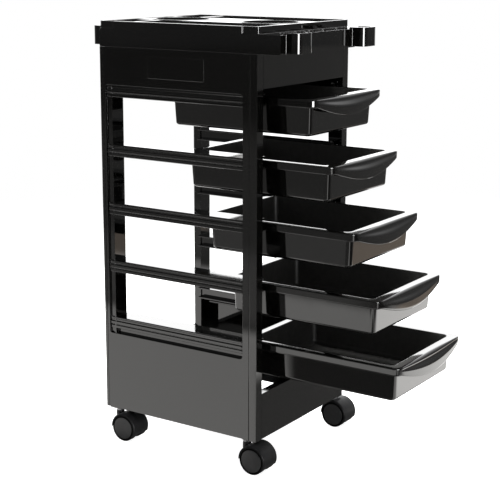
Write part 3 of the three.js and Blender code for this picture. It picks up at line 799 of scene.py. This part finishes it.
def floor_material():
    """Matt white studio floor that fades out with distance."""
    m, nt, b = new_material("studio_floor")
    out = [n for n in nt.nodes if n.type == "OUTPUT_MATERIAL"][0]
    b.inputs["Base Color"].default_value = (0.86, 0.86, 0.86, 1)
    b.inputs["Roughness"].default_value = 0.9
    b.inputs["Specular IOR Level"].default_value = 0.1
    b.inputs["Emission Color"].default_value = (1, 1, 1, 1)
    b.inputs["Emission Strength"].default_value = 0.95
    tc = nt.nodes.new("ShaderNodeTexCoord")
    ln = nt.nodes.new("ShaderNodeVectorMath")
    ln.operation = "LENGTH"
    nt.links.new(tc.outputs["Object"], ln.inputs[0])
    clear = nt.nodes.new("ShaderNodeBsdfTransparent")
    mix = nt.nodes.new("ShaderNodeMixShader")
    nt.links.new(step(nt, ln.outputs["Value"], 1.3, 3.0), mix.inputs["Fac"])
    nt.links.new(b.outputs["BSDF"], mix.inputs[1])
    nt.links.new(clear.outputs["BSDF"], mix.inputs[2])
    nt.links.new(mix.outputs["Shader"], out.inputs["Surface"])
    return m


def card_material():
    """What the gloss sees of the floor: a lit sweep with a brighter pool ahead of the drawers and shade under the trolley."""
    m = bpy.data.materials.new("floor_glow")
    m.use_nodes = True
    nt = m.node_tree
    nt.nodes.clear()
    out = nt.nodes.new("ShaderNodeOutputMaterial")
    e = nt.nodes.new("ShaderNodeEmission")
    tc = nt.nodes.new("ShaderNodeTexCoord")
    sep = nt.nodes.new("ShaderNodeSeparateXYZ")
    nt.links.new(tc.outputs["Object"], sep.inputs["Vector"])
    X, Y = sep.outputs["X"], sep.outputs["Y"]
    M = lambda op, *v: math_node(nt, op, *v)
    S = M("ADD", Y, M("MULTIPLY", X, 0.663))
    sweep = M("MULTIPLY", M("MULTIPLY", step(nt, X, -1.02, -0.92), step(nt, X, 1.22, 1.06)), M("MULTIPLY", step(nt, Y, -1.2, -0.98), step(nt, Y, 1.7, 1.2)))
    pool = M("MULTIPLY", step(nt, X, 0.15, 0.42), step(nt, Y, -0.25, -0.5))
    level = M("ADD", 2.1, M("MULTIPLY", 1.2, pool))
    shade = M("MULTIPLY", M("MULTIPLY", step(nt, X, -0.30, -0.16), step(nt, X, 0.52, 0.38)), M("MULTIPLY", step(nt, Y, -0.46, -0.34), step(nt, Y, 0.42, 0.28)))
    level = M("MULTIPLY", level, M("SUBTRACT", 1.0, M("MULTIPLY", 0.93, shade)))
    flag = M("MULTIPLY", M("MULTIPLY", step(nt, X, -0.76, -0.70), step(nt, X, -0.20, -0.30)), step(nt, S, -0.165, -0.205))
    level = M("MULTIPLY", level, M("SUBTRACT", 1.0, M("MULTIPLY", 0.98, flag)))
    left = M("ADD", M("MULTIPLY", M("MULTIPLY", step(nt, X, -5.2, -3.4), step(nt, X, -0.8, -1.1)), 0.20), M("MULTIPLY", M("MULTIPLY", step(nt, X, -1.9, -1.6), step(nt, X, -0.9, -1.15)), M("MULTIPLY", step(nt, Y, 0.3, 0.45), 0.28)))
    near = M("ADD", M("ADD", 0.10, left), M("MULTIPLY", sweep, level))
    warm = M("MULTIPLY", M("MULTIPLY", step(nt, X, 1.02, 1.2), step(nt, X, 1.85, 1.7)), M("MULTIPLY", step(nt, Y, -1.15, -1.05), step(nt, Y, -0.7, -0.85)))
    far = M("ADD", M("MULTIPLY", step(nt, X, 0.9, 1.4), 0.13), M("MULTIPLY", M("MULTIPLY", step(nt, X, 1.6, 3.0), step(nt, Y, -0.3, 1.2)), 1.6))
    far = M("ADD", far, M("MULTIPLY", warm, 0.6))
    ax, ay = M("ADD", X, 0.12), M("ADD", Y, 0.22)
    ray = M("MULTIPLY", step(nt, M("SUBTRACT", ax, M("MULTIPLY", ay, 0.78)), 0.0, 0.12), step(nt, M("SUBTRACT", ax, M("MULTIPLY", ay, 0.34)), 0.0, -0.12))
    far = M("ADD", far, M("MULTIPLY", M("MULTIPLY", ray, step(nt, ay, -0.62, -0.8)), 2.6))
    tint = nt.nodes.new("ShaderNodeMix")
    tint.data_type = "RGBA"
    tint.inputs["A"].default_value = (1.0, 0.985, 0.96, 1)
    tint.inputs["B"].default_value = (1.0, 0.84, 0.70, 1)
    nt.links.new(warm, tint.inputs["Factor"])
    nt.links.new(tint.outputs["Result"], e.inputs["Color"])
    nt.links.new(M("ADD", near, far), e.inputs["Strength"])
    nt.links.new(e.outputs["Emission"], out.inputs["Surface"])
    return m


def disc(name, radius, segs, at):
    p = [(radius * math.cos(2 * math.pi * i / segs), radius * math.sin(2 * math.pi * i / segs), 0) for i in range(segs)]
    me = bpy.data.meshes.new(name)
    me.from_pydata(p, [], [tuple(range(segs))])
    o = link(bpy.data.objects.new(name, me))
    o.location = at
    return o


floor = disc("studio_floor", 3.4, 96, (0.1, -0.15, -0.0004))
floor.data.materials.append(floor_material())
floor.visible_glossy = False
glow = disc("floor_glow", 12.0, 96, (0, 0, -0.0008))
glow.data.materials.append(card_material())
glow.visible_camera = glow.visible_diffuse = glow.visible_shadow = glow.visible_transmission = False

bm = bmesh.new()
bmesh.ops.create_icosphere(bm, subdivisions=4, radius=16)
me = bpy.data.meshes.new("studio_surround")
bm.to_mesh(me)
bm.free()
dome = link(bpy.data.objects.new("studio_surround", me))
dome.data.materials.append(emissive("studio_white", (1, 1, 1), 1.0))
dome.visible_diffuse = dome.visible_glossy = dome.visible_transmission = False
dome.visible_shadow = dome.visible_volume_scatter = False

world = bpy.data.worlds.new("studio")
SC.world = world
world.use_nodes = True
nt = world.node_tree
nt.nodes.clear()
wo = nt.nodes.new("ShaderNodeOutputWorld")
bg = nt.nodes.new("ShaderNodeBackground")
tc = nt.nodes.new("ShaderNodeTexCoord")
sep = nt.nodes.new("ShaderNodeSeparateXYZ")
nt.links.new(tc.outputs["Generated"], sep.inputs["Vector"])
r = nt.nodes.new("ShaderNodeValToRGB")
mr = nt.nodes.new("ShaderNodeMapRange")
mr.inputs["From Min"].default_value = -1
mr.inputs["From Max"].default_value = 1
nt.links.new(sep.outputs["Z"], mr.inputs["Value"])
els = r.color_ramp.elements
els[0].position, els[0].color = 0.0, (0.02, 0.02, 0.02, 1)
els[1].position, els[1].color = 1.0, (0.45, 0.45, 0.45, 1)
for p, c in ((0.44, 0.02), (0.47, 0.32), (0.499, 0.36), (0.506, 0.55), (0.60, 0.64), (0.66, 0.95), (0.74, 0.45), (0.84, 0.12), (0.96, 0.10)):
    e = els.new(p)
    e.color = (c, c, c, 1)
nt.links.new(mr.outputs["Result"], r.inputs["Fac"])
nt.links.new(r.outputs["Color"], bg.inputs["Color"])
ahead = math_node(nt, "ADD", math_node(nt, "MULTIPLY", sep.outputs["X"], 0.832), math_node(nt, "MULTIPLY", sep.outputs["Y"], 0.555))
nt.links.new(math_node(nt, "ADD", 0.5, math_node(nt, "MULTIPLY", step(nt, ahead, 0.46, 0.8), 4.5)), bg.inputs["Strength"])
nt.links.new(bg.outputs["Background"], wo.inputs["Surface"])


def softbox(name, at, aim, size, power, colour=(1, 1, 1)):
    l = bpy.data.lights.new(name, "AREA")
    l.shape = "RECTANGLE"
    l.size, l.size_y = size
    l.energy = power
    l.color = colour
    o = link(bpy.data.objects.new(name, l))
    o.location = at
    o.rotation_mode = "QUATERNION"
    o.rotation_quaternion = (Vector(aim) - Vector(at)).to_track_quat("-Z", "Y")
    o.visible_camera = False
    return o


softbox("top_box", (0.2, -0.3, 2.7), (0.15, -0.25, 0), (1.6, 1.6), 220).visible_glossy = False
softbox("key_wall", (-1.6, -2.98, 0.76), (-0.15, -0.13, 0.76), (1.5, 1.09), 150).visible_diffuse = False

# ------------------------------------------------------------------ camera
YAW, PITCH, ROLL = math.radians(33.69), math.radians(11.90), math.radians(-0.16)
w = Vector((math.cos(YAW) * math.cos(PITCH), math.sin(YAW) * math.cos(PITCH), -math.sin(PITCH)))
r = Vector((math.sin(YAW), -math.cos(YAW), 0))
d = w.cross(r)
r2 = math.cos(ROLL) * r + math.sin(ROLL) * d
d2 = -math.sin(ROLL) * r + math.cos(ROLL) * d
cam_data = bpy.data.cameras.new("camera")
cam_data.sensor_width = 36
cam_data.lens = 1287.5 / 500 * 36
cam_data.shift_y = -0.05
cam_data.clip_start, cam_data.clip_end = 0.05, 100
cam = link(bpy.data.objects.new("camera", cam_data))
m = Matrix.Identity(4)
for i in range(3):
    m[i][0], m[i][1], m[i][2] = r2[i], -d2[i], -w[i]
m[0][3], m[1][3], m[2][3] = -2.1709, -1.3770, 1.0076
cam.matrix_world = m
SC.camera = cam

SC.view_settings.view_transform = "Standard"

bpy.context.view_layer.update()
